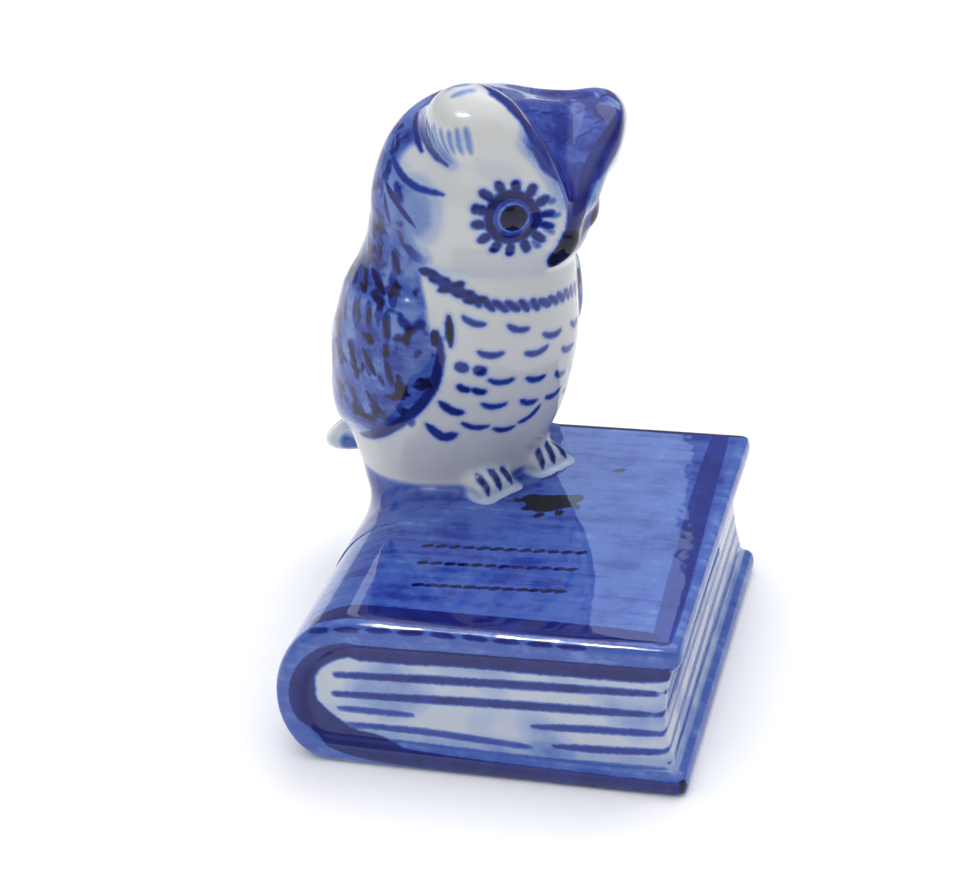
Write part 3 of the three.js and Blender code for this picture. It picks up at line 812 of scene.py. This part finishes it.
# %% Fore-edge: the page lines run round the corner
for height_near, height_far, width in ((11.3, 11.0, 0.42), (9.0, 9.2, 0.42), (6.9, 7.2, 0.38),
                                       (4.9, 5.4, 0.38), (3.5, 3.8, 0.32)):
    lane = [(18.6, y_low * 0.96, height_near), (18.6, -6, height_near + 0.2),
            (18.6, 8, height_far), (18.6, y_high * 0.96, height_far)]
    book_stroke(lane, width, 0.66, taper=0.3)
book_stroke([(20.4, y_low * 0.97, 1.2), (20.4, 0, 1.2), (20.4, y_high * 0.97, 1.2)], 0.5, 0.66)
print(len(book_dark), "dark strokes on the book")

# %% The book's wash
bx, by, bz = book_spots.T
book_facing = normals_of(book_spots, book_quads)
page_depth = book_grid.sample(page_field, book_spots) - book_grid.sample(cover_field, book_spots)
is_page = ease(page_depth, 0.15, -0.15)
drift = blotches(book_spots, 5.0, 4)
spine_fade = ease(bx, -12.5, -17.5)
book_wash = 0.52 - 0.14 * spine_fade + 0.06 * drift
outside_border = np.maximum(ease(bx, 18.4, 19.2), ease(np.abs(by), 20.8, 21.6))
book_wash = book_wash * (1 - outside_border) + 0.44 * outside_border
end_face = ease(np.abs(book_facing[:, 1]), 0.5, 0.85)
book_wash = book_wash * (1 - end_face) + 0.46 * end_face
book_wash *= 1 - is_page
page_wash = 0.06 + 0.16 * ease(drift, -0.1, 0.5) + 0.14 * ease(bz, 5.0, 3.6)
book_wash = np.maximum(book_wash, page_wash * is_page)
owl_gap = np.hypot(bx - owl_foot[0], by - owl_foot[1]) - 9.2
ring_round = ease(np.abs(owl_gap - 0.6), 1.5, 0.3) * ease(bz, TOP - 1.5, TOP - 0.4) * (1 - is_page)
book_wash = np.maximum(book_wash, 0.62 * ring_round)
book_bare = ease(book_facing[:, 2], -0.6, -0.9) * ease(bz, 0.6, 0.2)
book_wash *= 1 - book_bare

# %% Lay everything
owl_paint = {"wash": owl_wash, "bare": np.zeros(len(owl_spots))}
book_paint = {"wash": book_wash, "bare": book_bare}
for coat, owl_coat, book_coat in (("dark", dark, book_dark), ("pale", pale, [])):
    owl_paint[coat + "_edge"], owl_paint[coat + "_load"] = lay(owl_spots, owl_coat)
    book_paint[coat + "_edge"], book_paint[coat + "_load"] = lay(book_spots, book_coat)
print("painted", len(owl_spots) + len(book_spots), "points")


# %% [markdown]
# ## Cutting the skin back into pieces
#
# The ornament is one skin to the eye, but it is an assembly: each casting keeps its own piece.
# Every face goes to the casting that it lies on. A piece is that patch, a copy of it a little
# way inside, and a rim that joins the two, so it is a closed shell. Neighbours share their
# border points and take their normals from the whole skin, so no seam shows.

# %% Give each face to a casting
def nearest_label(grid, label, points):
    at = np.clip(np.rint((points - grid.low) / grid.step).astype(int), 0, np.array(grid.shape) - 1)
    return label[tuple(at.T)].astype(int)


def smooth_labels(quads, label, count, points_count, rounds=12):
    """Lets each face take the label that most faces round its corners have."""
    for _ in range(rounds):
        votes = np.zeros((points_count, count))
        for i in range(4):
            np.add.at(votes, (quads[:, i], label), 1)
        label = votes[quads].sum(axis=1).argmax(axis=1)
    return label


def no_pinches(quads, label, count, points_count):
    """Where a patch touches itself at one point only, the faces there all go to one label."""
    for _ in range(12):
        pinched = 0
        for k in range(count):
            mine = quads[label == k]
            if not len(mine):
                continue
            a, b = mine.ravel(), np.roll(mine, -1, axis=1).ravel()
            code = np.minimum(a, b) * points_count + np.maximum(a, b)
            unique, times = np.unique(code, return_counts=True)
            rim = unique[times == 1]
            touch = np.bincount(np.concatenate([rim // points_count, rim % points_count]),
                                minlength=points_count)
            bad = touch > 2
            pinched += bad.sum()
            label = np.where(bad[quads].any(axis=1), k, label)
        if not pinched:
            break
    return label


def label_faces(grid, label, spots, quads, count):
    face = nearest_label(grid, label, spots[quads].mean(axis=1))
    face = smooth_labels(quads, face, count, len(spots))
    return no_pinches(quads, face, count, len(spots))


owl_face = label_faces(owl_grid, owl_label, owl_spots, owl_quads, len(OWL_NODES))
book_face = label_faces(book_grid, book_label, book_spots, book_quads, len(BOOK_NODES))


# %% Make one closed piece from its patch
WALL = 0.4  # mm


def shell(name, spots, quads, facing, paint, material):
    used = np.unique(quads)
    renumber = np.full(len(spots), -1)
    renumber[used] = np.arange(len(used))
    outer = renumber[quads]
    count = len(used)
    a, b = outer.ravel(), np.roll(outer, -1, axis=1).ravel()
    forward_code, back_code = a * count + b, b * count + a
    rim = ~np.isin(forward_code, back_code)
    rim_quads = np.stack([b[rim], a[rim], a[rim] + count, b[rim] + count], axis=1)
    faces = np.vstack([outer, outer[:, ::-1] + count, rim_quads])
    places = np.vstack([spots[used], spots[used] - facing[used] * WALL]) / 1000
    mesh = bpy.data.meshes.new(name)
    mesh.vertices.add(len(places))
    mesh.vertices.foreach_set("co", places.astype(np.float32).ravel())
    mesh.loops.add(faces.size)
    mesh.loops.foreach_set("vertex_index", faces.astype(np.int32).ravel())
    mesh.polygons.add(len(faces))
    mesh.polygons.foreach_set("loop_start", np.arange(0, faces.size, 4, dtype=np.int32))
    mesh.update(calc_edges=True)
    mesh.shade_smooth()
    for key, values in paint.items():
        column = mesh.attributes.new(key, "FLOAT", "POINT")
        column.data.foreach_set("value", np.tile(values[used], 2).astype(np.float32))
    loops = np.zeros((faces.size, 3), np.float32)
    loops[:outer.size] = facing[used][outer.ravel()]
    mesh.normals_split_custom_set(loops)
    mesh.materials.append(material)
    return put(name, mesh)


# %% [markdown]
# ## The glaze
#
# Cobalt under a clear glaze goes from pale blue where the wash is thin, through a strong blue,
# to navy and near black where it pools. One colour ramp holds that whole range, and everything
# painted is just an amount of cobalt that is looked up in it. The glaze is a glassy coat over
# it: very smooth, slightly wavy, and the wave is seen only in the highlights.

# %% Hex colours to linear
def tint(code):
    channels = [int(code[i:i + 2], 16) / 255 for i in (1, 3, 5)]
    return [c / 12.92 if c <= 0.04045 else ((c + 0.055) / 1.055) ** 2.4 for c in channels] + [1.0]


COBALT_RAMP = ((0.0, "#c8cacb"), (0.12, "#9fadca"), (0.3, "#6a84bc"), (0.48, "#3f5aa9"),
               (0.64, "#25368f"), (0.78, "#181d64"), (0.9, "#100d34"), (1.0, "#0a0712"))


# %% A painted, glazed porcelain
def porcelain(name, streak_turn, streak_size, streak_depth):
    """Slip-cast porcelain painted in cobalt under a clear glaze. Streaks are the brush's hairs."""
    material = bpy.data.materials.new(name)
    material.use_nodes = True
    tree = material.node_tree
    tree.nodes.clear()
    value = {key: add(tree, "ShaderNodeAttribute", attribute_name=key).outputs["Fac"]
             for key in ("wash", "bare", "dark_edge", "dark_load", "pale_edge", "pale_load")}
    where = add(tree, "ShaderNodeTexCoord").outputs["Object"]
    # hairs of a wide brush, in millimetres across and ten times as long
    turned = add(tree, "ShaderNodeMapping", [(where, "Vector")], Rotation=streak_turn,
                 Scale=(100 / streak_size, 1000 / streak_size, 1000 / streak_size))
    hairs = add(tree, "ShaderNodeTexNoise", [(turned.outputs[0], "Vector")], Scale=1.0, Detail=3.0,
                Roughness=0.6)
    # pooling of the wash, about 3 mm across
    pools = add(tree, "ShaderNodeTexNoise", [(where, "Vector")], Scale=330.0, Detail=4.0, Roughness=0.65)
    # the bleeding edge of a stroke, about 0.3 mm
    bleed = add(tree, "ShaderNodeTexNoise", [(where, "Vector")], Scale=1900.0, Detail=2.0)

    fine = add(tree, "ShaderNodeMath", [(hairs.outputs["Fac"], 0), (streak_depth, 1),
                                        (0.55 - 0.5 * streak_depth, 2)], operation="MULTIPLY_ADD")
    uneven = add(tree, "ShaderNodeMath", [(pools.outputs["Fac"], 0), (0.9, 1), (fine.outputs[0], 2)],
                 operation="MULTIPLY_ADD")
    amount = add(tree, "ShaderNodeMath", [(value["wash"], 0), (uneven.outputs[0], 1)], operation="MULTIPLY")
    ragged = add(tree, "ShaderNodeMath", [(bleed.outputs["Fac"], 0), (0.22, 1), (-0.11, 2)],
                 operation="MULTIPLY_ADD")
    thick = add(tree, "ShaderNodeMath", [(pools.outputs["Fac"], 0), (0.34, 1), (0.83, 2)],
                operation="MULTIPLY_ADD")
    # each coat's edge is soft over its bleed, and a dark stroke has a faint halo round it
    for coat, inner, outer, strength in (("pale", -0.34, 0.34, 1.0), ("dark", -0.2, 0.7, 0.15),
                                         ("dark", -0.26, 0.24, 1.0)):
        edge = add(tree, "ShaderNodeMath", [(value[coat + "_edge"], 0), (ragged.outputs[0], 1)],
                   operation="ADD")
        cover = add(tree, "ShaderNodeMapRange", [(edge.outputs[0], "Value")],
                    interpolation_type="SMOOTHSTEP", From_Min=outer, From_Max=inner, To_Min=0.0,
                    To_Max=strength)
        load = add(tree, "ShaderNodeMath", [(value[coat + "_load"], 0), (thick.outputs[0], 1)],
                   operation="MULTIPLY")
        load = add(tree, "ShaderNodeMath", [(load.outputs[0], 0), (cover.outputs[0], 1)],
                   operation="MULTIPLY")
        amount = add(tree, "ShaderNodeMath", [(amount.outputs[0], 0), (load.outputs[0], 1)],
                     operation="MAXIMUM")
    ramp = add(tree, "ShaderNodeValToRGB", [(amount.outputs[0], "Fac")])
    ramp.color_ramp.interpolation = "EASE"
    elements = ramp.color_ramp.elements
    while len(elements) < len(COBALT_RAMP):
        elements.new(0.5)
    for element, (position, code) in zip(elements, COBALT_RAMP):
        element.position = position
        element.color = tint(code)
    # unglazed foot: dull and off-white
    bare = add(tree, "ShaderNodeMix", [(value["bare"], "Factor"), (0.16, "A"), (0.75, "B")],
               data_type="FLOAT")
    # wave of the glaze: 2.5 mm long and a few hundredths deep
    wave = add(tree, "ShaderNodeTexNoise", [(where, "Vector")], Scale=400.0, Detail=1.5, Roughness=0.4)
    bump = add(tree, "ShaderNodeBump", [(wave.outputs["Fac"], "Height")], Strength=0.14, Distance=0.00012)
    shader = add(tree, "ShaderNodeBsdfPrincipled",
                 [(ramp.outputs["Color"], "Base Color"), (bare.outputs[0], "Roughness"),
                  (bump.outputs[0], "Normal"), (bump.outputs[0], "Coat Normal")],
                 IOR=1.5, Specular_IOR_Level=0.0, Coat_Weight=1.0, Coat_Roughness=0.03, Coat_IOR=1.42)
    add(tree, "ShaderNodeOutputMaterial", [(shader.outputs[0], "Surface")])
    return material


# each slot's glaze: its name, how its streaks turn, their size and depth, and who wears it
FINISH = {}
for slot, name, turn, size, depth, nodes in (
        ("book_glaze", "book cover porcelain, broad cobalt wash under glaze", (0, 0, 0.35), 1.2, 0.75,
         ["book_cover"]),
        ("page_glaze", "page porcelain, drawn lines under glaze", (0, 0, 0), 1.6, 0.3, ["page_block"]),
        ("owl_glaze", "owl porcelain, white body under glaze", (0, 1.2, -0.5), 1.0, 0.5,
         ["owl_body", "owl_head", "tail", "right_foot", "left_foot"]),
        ("feather_glaze", "feather porcelain, streaked cobalt under glaze", (0, 1.3, -0.6), 0.9, 0.9,
         ["right_wing", "left_wing", "right_brow", "left_brow"]),
        ("ink_glaze", "beak porcelain, pooled cobalt under glaze", (0, 1.4, 0), 1.0, 0.3, ["beak"])):
    glaze = porcelain(name, turn, size, depth)
    FINISH.update({node: (slot, glaze) for node in nodes})

# %% Build and name the pieces
owl_facing = normals_of(owl_spots, owl_quads)
made = []
for nodes, spots, quads, label, facing, paint in (
        (OWL_NODES, owl_spots, owl_quads, owl_face, owl_facing, owl_paint),
        (BOOK_NODES, book_spots, book_quads, book_face, book_facing, book_paint)):
    for i, node in enumerate(nodes):
        slot_name, material = FINISH[node]
        piece = shell(node + "_glazed", spots, quads[label == i], facing, paint, material)
        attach(piece, "root")
        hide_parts(node)
        made.append(piece)
        print(f"{piece.name}: {2 * len(piece.data.polygons)} triangles")

# %% [markdown]
# ## Stage, light and camera
#
# The ornament stands on a plain white table under a bright ceiling, in a room whose walls are
# dimmer, so the glaze shows the cobalt's full depth. Two tall windows behind it give the broad
# sheen on the cover, and a strip of small bright lights gives the beaded sparkles on its lip.

# %% Table
def plain(name, code, roughness):
    material = bpy.data.materials.new(name)
    material.use_nodes = True
    shader = material.node_tree.nodes["Principled BSDF"]
    shader.inputs["Base Color"].default_value = tint(code)
    shader.inputs["Roughness"].default_value = roughness
    return material


table = bpy.data.meshes.new("table")
table.from_pydata([(-3, -3, 0), (3, -3, 0), (3, 3, 0), (-3, 3, 0)], [], [(0, 1, 2, 3)])
table.materials.append(plain("matt white paper", "#f4f4f6", 0.6))
put("table", table)

# %% Room and lamps
WALLS, CEILING = 0.36, 1.75  # brightness
room = bpy.data.worlds.new("white room")
room.use_nodes = True
walls = room.node_tree
sky = walls.nodes["Background"]
look = add(walls, "ShaderNodeTexCoord").outputs["Generated"]
height = add(walls, "ShaderNodeSeparateXYZ", [(look, 0)])
shade = add(walls, "ShaderNodeMapRange", [(height.outputs["Z"], "Value")],
            From_Min=0.5, From_Max=0.85, To_Min=WALLS, To_Max=CEILING)
walls.links.new(shade.outputs[0], sky.inputs["Strength"])
sky.inputs["Color"].default_value = tint("#ffffff")
bpy.context.scene.world = room
bpy.context.scene.view_settings.view_transform = "Standard"


def lamp(name, place, target, size, power, depth=None):
    data = bpy.data.lights.new(name, "AREA")
    data.shape = "RECTANGLE"
    data.size = size
    data.size_y = depth or size
    data.energy = power
    holder = put(name, data)
    aim = (Vector(target) - Vector(place)).to_track_quat("-Z", "Y")
    holder.matrix_world = Matrix.Translation(place) @ aim.to_matrix().to_4x4()
    return holder


centre = (0, 0, 0.03)
lamp("soft box", (0.1, 0.25, 0.6), centre, 0.4, 0.9)
window = lamp("window", (-0.35, 1.7, 1.12), centre, 0.14, 0.5, 0.6)
window.data.color = tint("#c4dcff")[:3]
lamp("far window", (-0.86, 1.6, 1.0), centre, 0.16, 0.6, 0.9)
for i in range(28):
    bead = lamp(f"strip lamp {i}", (-0.19 + i * 0.0055, -0.32, 0.42), centre, 0.0014, 0.35)
    bead.visible_diffuse = False

# %% Camera
CAMERA_PLACE = (0.05279, -0.19950, 0.13091)
AZIMUTH, ELEVATION, CAMERA_ROLL = math.radians(15.96), math.radians(26.95), math.radians(-3.52)
camera_data = bpy.data.cameras.new("camera")
camera_data.sensor_width = 36
camera_data.lens = 88.13
camera_data.clip_start = 0.01
camera = put("camera", camera_data)
behind = Vector((math.sin(AZIMUTH) * math.cos(ELEVATION), -math.cos(AZIMUTH) * math.cos(ELEVATION),
                 math.sin(ELEVATION)))
level = Vector((math.cos(AZIMUTH), math.sin(AZIMUTH), 0))
up = behind.cross(level)
right = level * math.cos(CAMERA_ROLL) + up * math.sin(CAMERA_ROLL)
up = up * math.cos(CAMERA_ROLL) - level * math.sin(CAMERA_ROLL)
camera.matrix_world = Matrix.Translation(CAMERA_PLACE) @ Matrix((right, up, behind)).transposed().to_4x4()
bpy.context.scene.camera = camera
